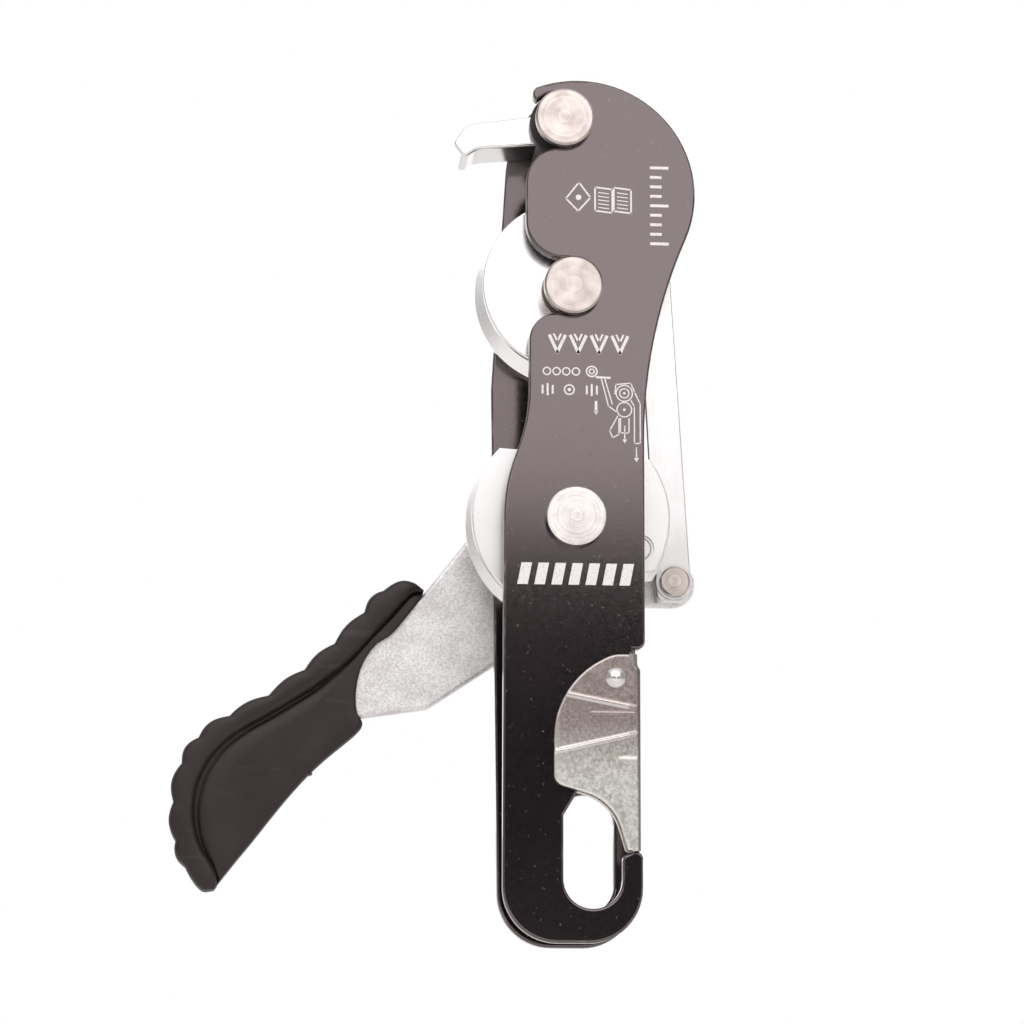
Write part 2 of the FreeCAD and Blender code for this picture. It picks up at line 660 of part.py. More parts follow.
def make_handle_plate():
    low_z = dim("link_low_z") - dim("arm_half")
    high_z = dim("link_low_z") + dim("arm_half")
    end_x = dim("link_low_x") + dim("arm_half")
    edges = rounded([
        (-17.5, 99.3, 8.0), (8.0, 97.0, 12.0), (17.4, 83.8, 4.0), (21.6, high_z, 3.0),
        (end_x, high_z, 5.95), (end_x, low_z, 5.95), (-1.5, low_z, 6.0), (-18.0, 53.0, 8.0),
        (-40.5, 38.1, 2.5), (-59.0, 35.4, 1.5), (-75.0, 22.0, 6.0), (-95.0, -2.0, 4.0),
        (-102.0, 12.0, 9.0), (-96.0, 27.5, 12.0), (-62.0, 52.5, 10.0), (-42.5, 67.3, 6.0),
    ])
    body = plate("handle_plate", "{handle_y}", edges, "{handle_thick}", "{handle_round}",
                 [("{axle_x}", "{axle_z}", "{bush_outer}"),
                  ("{link_low_x}", "{link_low_z}", "{link_pin}"),
                  ("{drive_x}", "{drive_z}", "{drive_radius}")])
    turned("handle_bush", "{axle_x}", "{axle_z}", "{handle_y}",
           [("{bush_outer}", "{handle_thick}")], "{shaft} + {fit}")
    return body


def scalloped(outline, valleys, rise):
    """Finger bumps: one outward arc from each valley to the next."""
    outline.to(*valleys[0])
    for x, z in valleys[1:]:
        near, far = outline.at, Vector(x, z, 0)
        outward = Vector(far.y - near.y, near.x - far.x, 0).normalize()
        peak = (near + far) / 2 + outward * rise
        outline.through(peak.x, peak.y, x, z)


def make_grip(handle):
    # over the top, down the finger bumps, round the tip and back along the inner edge
    grip = Outline(-41.4, 68.6)
    grip.through(-44.6, 71.3, -48.4, 71.6)
    scalloped(grip, [
        (-52.9, 68.8), (-57.4, 63.0), (-65.1, 54.5), (-72.7, 47.6), (-81.9, 40.7), (-92.1, 35.2),
        (-99.9, 29.0), (-104.3, 22.4), (-106.3, 12.4), (-105.5, 2.6), (-102.6, -3.8),
    ], dim("scallop_rise"))
    grip.to(-100.9, -7.0).through(-98.2, -10.1, -94.3, -8.2)
    grip.to(-74.4, 17.4).through(-66.4, 25.4, -57.0, 33.4)
    grip.to(-58.8, 34.9).through(-59.0, 46.0, -54.6, 56.2)
    grip.through(-49.0, 63.6, -41.4, 68.6)
    body = new_body("grip_shell", "0", "{grip_y}", "0")
    pad(body, sketch_on(body, "Outline", "XZ_Plane", grip.close()), "{grip_thick}")
    panel = Outline(-59.0, 33.0)
    panel.to(-59.5, 46.5).through(-58.6, 50.2, -62.5, 49.2)
    panel.to(-78.3, 37.2).to(-90.0, 30.2).through(-101.0, 16.0, -96.5, -0.5)
    panel.to(-88.0, -12.0).to(-56.0, 26.0)
    front_cut = doc.addObject("Part::Feature", "front_panel")
    face = Part.Face(Part.Wire([edge.toShape() for edge in panel.close()]))
    face.rotate(Vector(), Vector(1, 0, 0), 90)
    slab = face.extrude(Vector(0, dim("grip_panel") + 1, 0))
    front_cut.Shape = slab
    front_cut.Placement = Placement(Vector(0, dim("grip_y") - 1, 0), Rotation())
    rear_cut = doc.addObject("Part::Feature", "rear_panel")
    rear_cut.Shape = slab
    rear_y = dim("grip_y") + dim("grip_thick") - dim("grip_panel")
    rear_cut.Placement = Placement(Vector(0, rear_y, 0), Rotation())
    tools = doc.addObject("Part::MultiFuse", "grip_tools")
    tools.Shapes = [handle, front_cut, rear_cut]
    name_node("grip", cut(body, tools))


def make_link_pin():
    turned("link_lower_pin", "{link_low_x}", "{link_low_z}", "{link_pin_y}", [
        ("{link_pin_head} - 0.4", "0.3", "{link_pin_head}"),
        ("{link_pin_head}", "{link_y} - {link_pin_y} - 0.9"),
        ("{link_pin}", "{handle_y} + {handle_thick} - {link_y} + 0.6"),
        ("{pin_head}", "{pin_head_thick}", "{pin_head} - 0.6"),
    ])
    x, z = "{link_low_x}", "{link_low_z}"
    rings = []
    for front, length in (("{link_y} - 0.6", "0.5"), ("{link_y} + {link_thick} + 0.1", "0.4")):
        rings.append(cut(turned_step("{link_washer}", length, x, front, z),
                         turned_step("{link_pin}", "3", x, front + " - 1", z)))
    name_node("link_washers", fuse(*rings))


# ---------------------------------------------------------------- opening front plate

def make_front_plate():
    left, right, bottom = dim("plate_left"), dim("plate_right"), dim("plate_bottom")
    radius = dim("bottom_radius")
    neck, low_z, top_z = dim("neck_left"), dim("neck_low_z"), dim("neck_top_z")
    chin, lobe_left, lobe = dim("chin_radius"), dim("lobe_left"), dim("lobe_radius")
    notch, shift = dim("notch_radius"), dim("notch_shift")
    head_x, head_z, head = dim("head_x"), dim("head_z"), dim("head_arc")
    meet_x, meet_z, flank_x, flank_z = flank_points()
    mid_x, mid_z = dim("mid_x") - shift, dim("mid_z") + dim("notch_rise")
    top_x, top_notch_z = dim("top_x") - shift, dim("top_z")

    # the left side, from the bottom corner over the neck and the two lobes to the tip
    outline = Outline(left, bottom + radius)
    outline.to(left, low_z)
    waist = ((neck - left) ** 2 + (top_z - low_z) ** 2) / (4 * (neck - left))
    outline.around((left + neck) / 2, (low_z + top_z) / 2, left + waist, low_z, clockwise=True)
    outline.around(neck, top_z, neck - waist, top_z, clockwise=False)
    chin_x, chin_z, touch_x, touch_z = lobe_touch(neck, chin, mid_x, mid_z, above=False)
    outline.to(neck, chin_z)
    outline.around(touch_x, touch_z, chin_x, chin_z, clockwise=True)
    lobe_x, lobe_z, touch_x, touch_z = lobe_touch(lobe_left, lobe, mid_x, mid_z, above=True)
    outline.around(touch_x, touch_z, mid_x, mid_z, clockwise=False)
    outline.around(lobe_left, lobe_z, lobe_x, lobe_z, clockwise=True)
    lobe_x, lobe_z, touch_x, touch_z = lobe_touch(lobe_left, lobe, top_x, top_notch_z, above=False)
    outline.to(lobe_left, lobe_z)
    outline.around(touch_x, touch_z, lobe_x, lobe_z, clockwise=True)

    # the tip, the head and the flank
    lip = math.radians(137)
    outline.around(top_x + notch * math.cos(lip), top_notch_z + notch * math.sin(lip),
                   top_x, top_notch_z, clockwise=False)
    nose_x, nose_z, tip_x = -15.6, 196.2, -14.7
    tip_z = head_z + math.sqrt(head ** 2 - (tip_x - head_x) ** 2)
    outline.through(nose_x, nose_z, tip_x, tip_z)
    outline.around(meet_x, meet_z, head_x, head_z, clockwise=True)
    outline.around(right, flank_z, flank_x, flank_z, clockwise=False)

    # the mouth of the hook, down its throat to the eye
    edge_x, mouth_z = dim("mouth_edge_x"), dim("mouth_top_z")
    eye, eye_z = dim("eye_radius"), dim("eye_low_z")
    mouth_round, throat_round, tip_round = 2.2, 2.0, 1.6
    outline.corner(right, mouth_z, mouth_round, edge_x, mouth_z)
    outline.to(edge_x, mouth_z).to(edge_x, 40.5).to(-2.0, 15.6)
    outline.to(-3.9, 14.2).corner(-4.7, 12.6, throat_round, -eye, 8.0).to(-eye, 8.0)
    outline.to(-eye, eye_z)
    outline.around(eye, eye_z, 0, eye_z, clockwise=False)

    # the hook and the rounded bottom
    hook, tip = dim("hook_right"), dim("hook_tip_z")
    outline.corner(eye, tip - 1.2, tip_round, hook - 3.2, tip - 0.6)
    outline.to(hook - 3.2, tip - 0.5)
    outline.through(hook - 0.9, tip - 0.3, hook, tip - 2.4)
    outline.to(hook, bottom + radius)
    outline.around(hook - radius, bottom, hook - radius, bottom + radius, clockwise=True)
    outline.to(left + radius, bottom)
    outline.around(left, bottom + radius, left + radius, bottom + radius, clockwise=True)
    body = plate("front_plate_blank", "{front_y}", outline.close(), "{plate_thick}",
                 "{plate_round}", [("{axle_x}", "{axle_z}", "{bush_outer}"),
                                   ("{gate_pin_x}", "{gate_pin_z}", "{gate_rivet}")])
    pit = turned_step("{gate_pit_radius}", "{gate_pit_deep} + 1", "{gate_pin_x}",
                      "{front_y} + {plate_thick} - {gate_pit_deep}", "{gate_pin_z}")
    name_node("front_plate", cut(body, pit))
    turned("plate_bush", "{axle_x}", "{axle_z}", "{front_y}",
           [("{bush_outer}", "{plate_thick}")], "{shaft} + {fit}")


def make_gate():
    leaf, clear = dim("gate_sheet"), dim("gate_clear")
    wide = dim("plate_thick") + 2 * (clear + leaf)
    right = dim("gate_right")
    top, tip, left = 48.9, -0.9, -10.05
    edges = rounded([
        (right, top, 1.0), (5.2, top, 9.0), (left, 41.3, 22.5), (left, 15.9, 3.0),
        (5.0, 12.0, 14.0), (8.45, tip, 0.8), (right, tip, 0.6),
    ])
    body = plate("gate", "{front_y} - {gate_clear} - {gate_sheet}", edges,
                 "{plate_thick} + 2 * ({gate_clear} + {gate_sheet})", "{gate_round}")
    inner = Outline(-15.0, leaf)
    inner.to(right - leaf, leaf).to(right - leaf, wide - leaf).to(-15.0, wide - leaf)
    sketch = sketch_on(body, "Fold", "XY_Plane", inner.close())
    before = body.Shape.Volume
    fold = body.newObject("PartDesign::Pocket", "Fold")
    fold.Profile = sketch
    fold.Type = "ThroughAll"
    fold.Midplane = True
    doc.recompute()
    if body.Shape.Volume > before - 1:
        raise RuntimeError("the gate's fold cuts nothing")
    drill(body, [("{gate_pin_x}", "{gate_pin_z}", "{gate_rivet} + {fit}")])
    half = dim("ridge_half")
    for name, (x1, z1), (x2, z2) in (("UpperRidge", (-6.4, 38.1), (10.6, 35.5)),
                                     ("LowerRidge", (-8.6, 24.4), (10.6, 28.2))):
        strap = two_circle_strap(x1, z1, half * 0.99, x2, z2, half)
        ridge = sketch_on(body, name, "XZ_Plane", strap)
        pad(body, ridge, "{ridge_rise}", backwards=False)


def make_gate_rivet():
    head, pin, dome = dim("gate_rivet_head"), dim("gate_rivet"), dim("gate_dome")
    clear = dim("gate_clear") + dim("gate_sheet") + 0.1
    deep = dim("plate_thick") + 2 * clear
    front_ball = (head ** 2 + dome ** 2) / (2 * dome)
    tail, tail_dome = head * 0.9, dome * 0.4
    rear_ball = (tail ** 2 + tail_dome ** 2) / (2 * tail_dome)
    section = Outline(0, -dome)
    section.around(head, 0, 0, front_ball - dome, clockwise=False)
    section.to(pin, 0).to(pin, deep).to(tail, deep)
    section.around(0, deep + tail_dome, 0, deep + tail_dome - rear_ball, clockwise=False)
    revolved("gate_rivet", "{gate_pin_x}", "{front_y} - {gate_clear} - {gate_sheet} - 0.1",
             "{gate_pin_z}", section.close())


# ---------------------------------------------------------------- build and write

make_back_plate()
make_upper_bobbin()
make_frame_fasteners()
make_springs()
make_brake()
make_link()
make_cam()
handle_plate = make_handle_plate()
make_grip(handle_plate)
make_link_pin()
make_front_plate()
make_gate()
make_gate_rivet()
doc.recompute()

for item in doc.Objects:
    if "Invalid" in item.State or "Error" in item.State:
        raise RuntimeError("%s did not build: %s" % (item.Label, item.State))
for label, item in nodes.items():
    if item.Shape.isNull() or not item.Shape.isValid():
        raise RuntimeError("%s has no valid shape" % label)

os.makedirs("parts", exist_ok=True)
for label, item in nodes.items():
    item.Shape.exportStep("parts/%s.step" % label)
    box = item.Shape.BoundBox
    print("%-16s solids %d volume %8.1f mm3  x %.1f..%.1f  y %.1f..%.1f  z %.1f..%.1f" % (
        label, len(item.Shape.Solids), item.Shape.Volume,
        box.XMin, box.XMax, box.YMin, box.YMax, box.ZMin, box.ZMax))
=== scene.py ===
import math

import bpy
import numpy as np
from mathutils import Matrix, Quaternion, Vector


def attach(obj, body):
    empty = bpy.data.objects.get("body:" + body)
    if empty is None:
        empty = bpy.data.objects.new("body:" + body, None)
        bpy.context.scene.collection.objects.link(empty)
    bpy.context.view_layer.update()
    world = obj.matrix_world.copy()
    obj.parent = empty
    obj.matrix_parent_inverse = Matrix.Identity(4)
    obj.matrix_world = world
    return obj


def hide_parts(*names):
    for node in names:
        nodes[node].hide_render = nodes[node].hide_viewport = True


# Rope descender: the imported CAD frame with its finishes, a moulded grip, a stamped gate
# and the white printing. Lengths in the tables below are millimetres in the CAD frame.

MM = 0.001
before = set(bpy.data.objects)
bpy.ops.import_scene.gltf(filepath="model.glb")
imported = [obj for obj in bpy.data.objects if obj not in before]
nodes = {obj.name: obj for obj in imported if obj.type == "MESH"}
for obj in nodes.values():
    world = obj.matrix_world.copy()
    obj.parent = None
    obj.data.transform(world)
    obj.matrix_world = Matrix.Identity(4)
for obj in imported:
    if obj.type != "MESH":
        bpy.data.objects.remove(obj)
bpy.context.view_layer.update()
scene = bpy.context.scene

# ---------------------------------------------------------------- camera, floor and light

CAMERA_AT = (-0.0872, -0.8700, -0.0726)
CAMERA_AIM = (-0.01977, 0.0, 0.08754)
CAMERA_ROLL = math.radians(0.19)
CAMERA_LENS = 120.45
FLOOR_Z = -0.10
MIDDLE = (0.0, 0.0, 0.09)
# the tent's brightness rises from one direction component to another: low, high, brightness
TENT_DARK = 0.02
TENT_SIDES = (0.25, 0.75, 0.38)
TENT_TOP = (0.45, 0.85, 0.85)
TENT_BACK = (-0.3, 0.3, 0.8)
TENT_HORIZON = (0.10, 0.03, 0.10)


def add_object(name, data):
    made = bpy.data.objects.new(name, data)
    scene.collection.objects.link(made)
    return made


def make_camera():
    data = bpy.data.cameras.new("camera")
    data.lens = CAMERA_LENS
    data.sensor_width = 36.0
    data.clip_start = 0.02
    data.clip_end = 50.0
    camera = add_object("camera", data)
    camera.location = CAMERA_AT
    gaze = (Vector(CAMERA_AIM) - Vector(CAMERA_AT)).to_track_quat("-Z", "Y")
    camera.rotation_mode = "QUATERNION"
    camera.rotation_quaternion = gaze @ Quaternion((0.0, 0.0, 1.0), CAMERA_ROLL)
    scene.camera = camera


def softbox(name, centre, target, width, height, power, colour=(1.0, 1.0, 1.0)):
    data = bpy.data.lights.new(name, "AREA")
    data.shape = "RECTANGLE"
    data.size = width
    data.size_y = height
    data.energy = power
    data.color = colour
    light = add_object(name, data)
    light.location = centre
    light.rotation_euler = (Vector(target) - Vector(centre)).to_track_quat("-Z", "Y").to_euler()
    light.visible_camera = False
    return light


def make_world():
    """A light tent that is dark round the camera; the camera itself sees plain white."""
    world = bpy.data.worlds.new("tent")
    world.use_nodes = True
    scene.world = world
    tree = world.node_tree

    def node(kind, *inputs, **settings):
        made = tree.nodes.new(kind)
        for key, value in settings.items():
            setattr(made, key, value)
        for socket, value in enumerate(inputs):
            if isinstance(value, bpy.types.NodeSocket):
                tree.links.new(value, made.inputs[socket])
            else:
                made.inputs[socket].default_value = value
        return made.outputs[0]

    def ramp(value, low, high, bright):
        return node("ShaderNodeMapRange", value, low, high, 0.0, bright,
                    interpolation_type="SMOOTHSTEP")

    def math_node(operation, first, second=0.0):
        return node("ShaderNodeMath", first, second, operation=operation)

    heading = tree.nodes.new("ShaderNodeSeparateXYZ")
    tree.links.new(tree.nodes.new("ShaderNodeTexCoord").outputs["Generated"], heading.inputs[0])
    x, y, z = heading.outputs
    sides = ramp(math_node("ABSOLUTE", x), *TENT_SIDES)
    glow = math_node("MAXIMUM", math_node("MAXIMUM", sides, ramp(z, *TENT_TOP)), ramp(y, *TENT_BACK))
    total = math_node("ADD", math_node("ADD", glow, ramp(z, *TENT_HORIZON)), TENT_DARK)
    room = tree.nodes["Background"]
    tree.links.new(total, room.inputs["Strength"])
    room.inputs["Color"].default_value = (1.0, 0.98, 0.98, 1.0)
    white = tree.nodes.new("ShaderNodeBackground")
    white.inputs["Color"].default_value = (1.0, 1.0, 1.0, 1.0)
    seen = tree.nodes.new("ShaderNodeLightPath").outputs["Is Camera Ray"]
    mix = node("ShaderNodeMixShader", seen, room.outputs[0], white.outputs[0])
    tree.links.new(mix, tree.nodes["World Output"].inputs["Surface"])


def make_floor():
    mesh = bpy.data.meshes.new("floor")
    half = 3.0
    mesh.from_pydata([(-half, -half, FLOOR_Z), (half, -half, FLOOR_Z),
                      (half, half, FLOOR_Z), (-half, half, FLOOR_Z)], [], [(0, 1, 2, 3)])
    floor = add_object("floor", mesh)
    paint = Paint("floor_paint", Roughness=0.6)
    paint.drive("Base Color", paint.blend(paint.noise(3.0), (0.83, 0.82, 0.81), (0.87, 0.86, 0.85)))
    mesh.materials.append(paint.material)


# ---------------------------------------------------------------- procedural finishes

class Paint:
    """A procedural material: one Principled shader and the nodes that drive it."""

    def __init__(self, name, **fixed):
        self.material = bpy.data.materials.new(name)
        self.material.use_nodes = True
        self.tree = self.material.node_tree
        self.shader = self.tree.nodes["Principled BSDF"]
        for key, value in fixed.items():
            self.shader.inputs[key.replace("_", " ")].default_value = value
        self.place = self.node("ShaderNodeTexCoord").outputs["Object"]

    def node(self, kind, inputs=(), **settings):
        made = self.tree.nodes.new(kind)
        for key, value in settings.items():
            setattr(made, key, value)
        for key, value in dict(inputs).items():
            if isinstance(value, bpy.types.NodeSocket):
                self.tree.links.new(value, made.inputs[key])
            else:
                made.inputs[key].default_value = value
        return made

    def math(self, operation, a, b=0.0):
        return self.node("ShaderNodeMath", {0: a, 1: b}, operation=operation).outputs[0]

    def vector(self, operation, a, b):
        return self.node("ShaderNodeVectorMath", {0: a, 1: b}, operation=operation).outputs[0]

    def span(self, value, low, high, out_low=0.0, out_high=1.0):
        """Maps low..high to out_low..out_high with a smooth step, and holds the ends."""
        return self.node("ShaderNodeMapRange", {
            "Value": value, "From Min": low, "From Max": high,
            "To Min": out_low, "To Max": out_high}, interpolation_type="SMOOTHSTEP").outputs[0]

    def noise(self, scale, detail=2.0, place=None, roughness=0.5):
        """Noise with about scale blobs to the metre."""
        return self.node("ShaderNodeTexNoise", {
            "Vector": place or self.place, "Scale": scale, "Detail": detail,
            "Roughness": roughness}).outputs[0]

    def stretched(self, x, y, z):
        return self.vector("MULTIPLY", self.place, (x, y, z))

    def blend(self, factor, first, second):
        sockets = {"Factor": factor}
        for index, colour in ((6, first), (7, second)):
            sockets[index] = colour if isinstance(colour, bpy.types.NodeSocket) else (*colour, 1.0)
        return self.node("ShaderNodeMix", sockets, data_type="RGBA").outputs[2]

    def drive(self, socket, value):
        self.tree.links.new(value, self.shader.inputs[socket])

    def bump(self, height, depth, strength=1.0, below=None):
        """Relief of that depth in metres; below is the relief that it lies on."""
        inputs = {"Height": height, "Distance": depth, "Strength": strength}
        if below is not None:
            inputs["Normal"] = below
        return self.node("ShaderNodeBump", inputs).outputs[0]

    def relief(self, normal):
        self.drive("Normal", normal)

    def rim(self):
        """One on the rounded rims of a plate, nought on its faces and on its cut edge."""
        normal = self.node("ShaderNodeNewGeometry").outputs["Normal"]
        facing = self.math("ABSOLUTE", self.node("ShaderNodeSeparateXYZ", {0: normal}).outputs["Y"])
        rise = self.span(facing, 0.25, 0.6)
        fall = self.span(facing, 0.88, 0.985, 1.0, 0.0)
        return self.math("MULTIPLY", rise, fall)

    def radius(self, x, z):
        """Distance in metres from an axis along Y through x, z."""
        flat = self.vector("MULTIPLY", self.vector("SUBTRACT", self.place, (x * MM, 0.0, z * MM)),
                           (1.0, 0.0, 1.0))
        return self.node("ShaderNodeVectorMath", {0: flat}, operation="LENGTH").outputs["Value"]


def anodised(name, seed, gloss=0.9):
    """Satin black anodising over blasted aluminium, with a painted highlight on the rounded rims."""
    paint = Paint(name, IOR=1.8, Specular_IOR_Level=gloss, Specular_Tint=(1.0, 0.84, 0.86, 1.0))
    shifted = paint.vector("ADD", paint.place, (seed, 0.0, 0.0))
    cloud = paint.noise(45.0, 4.0, shifted)
    grain = paint.noise(1500.0, 3.0, shifted, 0.75)
    tone = paint.blend(paint.span(cloud, 0.35, 0.65), (0.0050, 0.0038, 0.0042),
                       (0.0080, 0.0062, 0.0066))
    dust = paint.span(paint.noise(1500.0, 0.0, shifted), 0.83, 0.87)
    tone = paint.blend(dust, tone, (0.10, 0.09, 0.09))
    # Painted highlight: a lighter colour, patchy by noise, on the rounded rims stands in for their
    # bright edge reflection.
    rim_highlight = paint.math("MULTIPLY", paint.rim(), paint.span(paint.noise(160.0, 3.0, shifted), 0.5, 0.78))
    tone = paint.blend(paint.math("MULTIPLY", rim_highlight, 0.5), tone, (0.30, 0.28, 0.28))
    paint.drive("Base Color", tone)
    pits = paint.span(paint.noise(750.0, 1.0, shifted), 0.74, 0.80, 0.0, 0.12)
    paint.drive("Roughness", paint.math("ADD", paint.span(grain, 0.3, 0.7, 0.11, 0.15), pits))
    paint.relief(paint.bump(grain, 1.1e-5, 0.6))
    return paint.material


def bright_alloy(name, centre=None, roughness=0.2, metallic=1.0):
    """Bright machined aluminium; turned round an axis where one is given."""
    paint = Paint(name, Metallic=metallic)
    if centre:
        reach = paint.radius(*centre)
        line = paint.node("ShaderNodeCombineXYZ", {0: reach}).outputs[0]
        cut = paint.noise(5200.0, 2.0, line)
    else:
        cut = paint.noise(900.0, 3.0, paint.stretched(1.0, 8.0, 6.0))
    cloud = paint.noise(70.0, 3.0)
    paint.drive("Base Color", paint.blend(cloud, (0.88, 0.87, 0.87), (0.94, 0.935, 0.935)))
    paint.drive("Roughness", paint.math("ADD", paint.span(cut, 0.3, 0.7, 0.0, 0.07),
                                        paint.span(cloud, 0.3, 0.7, roughness, roughness + 0.04)))
    paint.relief(paint.bump(cut, 4e-6, 0.6))
    return paint.material


def turned_steel(name, centre, colours, roughness, rings, depth):
    """A turned face: fine rings round the axis, a darker rub here and there."""
    paint = Paint(name, Metallic=1.0, Anisotropic=0.55)
    reach = paint.radius(*centre)
    line = paint.node("ShaderNodeCombineXYZ", {0: reach}).outputs[0]
    broad = paint.noise(rings, 2.0, line)
    fine = paint.noise(rings * 5.0, 1.0, line)
    cloud = paint.noise(260.0, 3.0)
    mixed = paint.math("MULTIPLY", paint.math("ADD", broad, cloud), 0.5)
    paint.drive("Base Color", paint.blend(paint.span(mixed, 0.34, 0.62), *colours))
    paint.drive("Roughness", paint.span(broad, 0.3, 0.7, roughness, roughness + 0.1))
    spin = paint.node("ShaderNodeTangent", direction_type="RADIAL", axis="Y").outputs[0]
    paint.drive("Tangent", spin)
    paint.relief(paint.bump(fine, depth, 0.5, paint.bump(broad, depth * 3.0, 0.8)))
    return paint.material


def plain_steel(name, dark, light, roughness, scale=500.0, depth=6e-6, metallic=1.0):
    """Plated, blasted or plain metal: a fine mottle in tone, gloss and relief."""
    paint = Paint(name, Metallic=metallic)
    mottle = paint.noise(scale, 4.0, None, 0.65)
    cloud = paint.noise(scale / 14.0, 2.0)
    both = paint.math("ADD", paint.math("MULTIPLY", mottle, 0.7), paint.math("MULTIPLY", cloud, 0.3))
    paint.drive("Base Color", paint.blend(paint.span(both, 0.36, 0.64), dark, light))
    paint.drive("Roughness", paint.span(mottle, 0.3, 0.7, roughness, roughness + 0.09))
    paint.relief(paint.bump(mottle, depth, 0.7))
    return paint.material


def brushed_steel(name, dark, light, roughness):
    """Steel with its grain along the bar."""
    paint = Paint(name, Metallic=1.0)
    grain = paint.noise(1.0, 3.0, paint.stretched(5200.0, 5200.0, 90.0))
    cloud = paint.noise(55.0, 2.0)
    paint.drive("Base Color", paint.blend(paint.span(cloud, 0.35, 0.65), dark, light))
    paint.drive("Roughness", paint.span(grain, 0.3, 0.7, roughness, roughness + 0.08))
    paint.relief(paint.bump(grain, 3e-6, 0.6))
    return paint.material


def gate_zinc(name):
    """Zinc-plated sheet: blotched, browner by the rivet and paler and greener at the tail, with
    painted shade down the fold and a painted highlight along the rolled left edge.
    """
    paint = Paint(name, Metallic=1.0)
    mottle = paint.noise(1300.0, 4.0, None, 0.65)
    cloud = paint.noise(150.0, 3.0)
    x, y, z = paint.node("ShaderNodeSeparateXYZ", {0: paint.place}).outputs
    both = paint.span(paint.math("ADD", paint.math("MULTIPLY", mottle, 0.75),
                                 paint.math("MULTIPLY", cloud, 0.25)), 0.34, 0.66)
    top = paint.blend(both, (0.30, 0.25, 0.235), (0.44, 0.38, 0.365))
    tail = paint.blend(both, (0.70, 0.70, 0.64), (0.98, 0.96, 0.91))
    tone = paint.blend(paint.span(z, 0.034, 0.014), top, tail)
    # Painted shade: the fold round the right edge is darkened in colour where it turns away from the
    # light.
    fold = paint.span(x, 0.0108, 0.0117)
    tone = paint.blend(paint.math("MULTIPLY", fold, 0.85), tone, (0.20, 0.18, 0.18))
    # Painted highlight: the rolled left edge of the face is lightened in colour to stand in for its
    # bright reflection.
    bright = paint.math("MULTIPLY", paint.rim(), paint.span(x, 0.0095, 0.0085))
    tone = paint.blend(paint.math("MULTIPLY", bright, 0.7), tone, (0.86, 0.84, 0.82))
    paint.drive("Base Color", tone)
    paint.drive("Roughness", paint.span(mottle, 0.3, 0.7, 0.30, 0.39))
    paint.relief(paint.bump(mottle, 1.2e-5, 0.7))
    return paint.material


def moulded_nylon(name):
    """Black nylon from a spark-eroded mould: satin, faintly mottled, with lighter scuffs streaked here
    and there.
    """
    paint = Paint(name, Specular_IOR_Level=0.5, Specular_Tint=(1.0, 0.88, 0.89, 1.0))
    cloud = paint.noise(38.0, 4.0, None, 0.6)
    grain = paint.noise(1900.0, 3.0, None, 0.6)
    scuff = paint.span(paint.noise(1.0, 3.0, paint.stretched(60.0, 60.0, 340.0)), 0.62, 0.74)
    tone = paint.blend(paint.span(cloud, 0.35, 0.65), (0.014, 0.0095, 0.0100), (0.022, 0.0155, 0.0160))
    tone = paint.blend(paint.math("MULTIPLY", scuff, 0.25), tone, (0.075, 0.062, 0.062))
    paint.drive("Base Color", tone)
    paint.drive("Roughness", paint.span(cloud, 0.3, 0.7, 0.40, 0.52))
    paint.relief(paint.bump(grain, 9e-6, 0.5, paint.bump(cloud, 1.2e-4, 0.35)))
    return paint.material


def white_ink(name):
    paint = Paint(name)
    rub = paint.span(paint.noise(1600.0, 3.0), 0.30, 0.46)
    paint.drive("Base Color", paint.blend(rub, (0.66, 0.62, 0.62), (0.88, 0.85, 0.85)))
    paint.drive("Roughness", paint.span(rub, 0.0, 1.0, 0.42, 0.6))
    paint.relief(paint.bump(rub, 4e-6, 0.4))
    return paint.material


STUD_TONES = ((0.44, 0.38, 0.355), (0.64, 0.58, 0.555))
AXLE_TONES = ((0.80, 0.75, 0.72), (1.0, 0.96, 0.94))
PIN_TONES = ((0.52, 0.45, 0.42), (0.72, 0.64, 0.61))


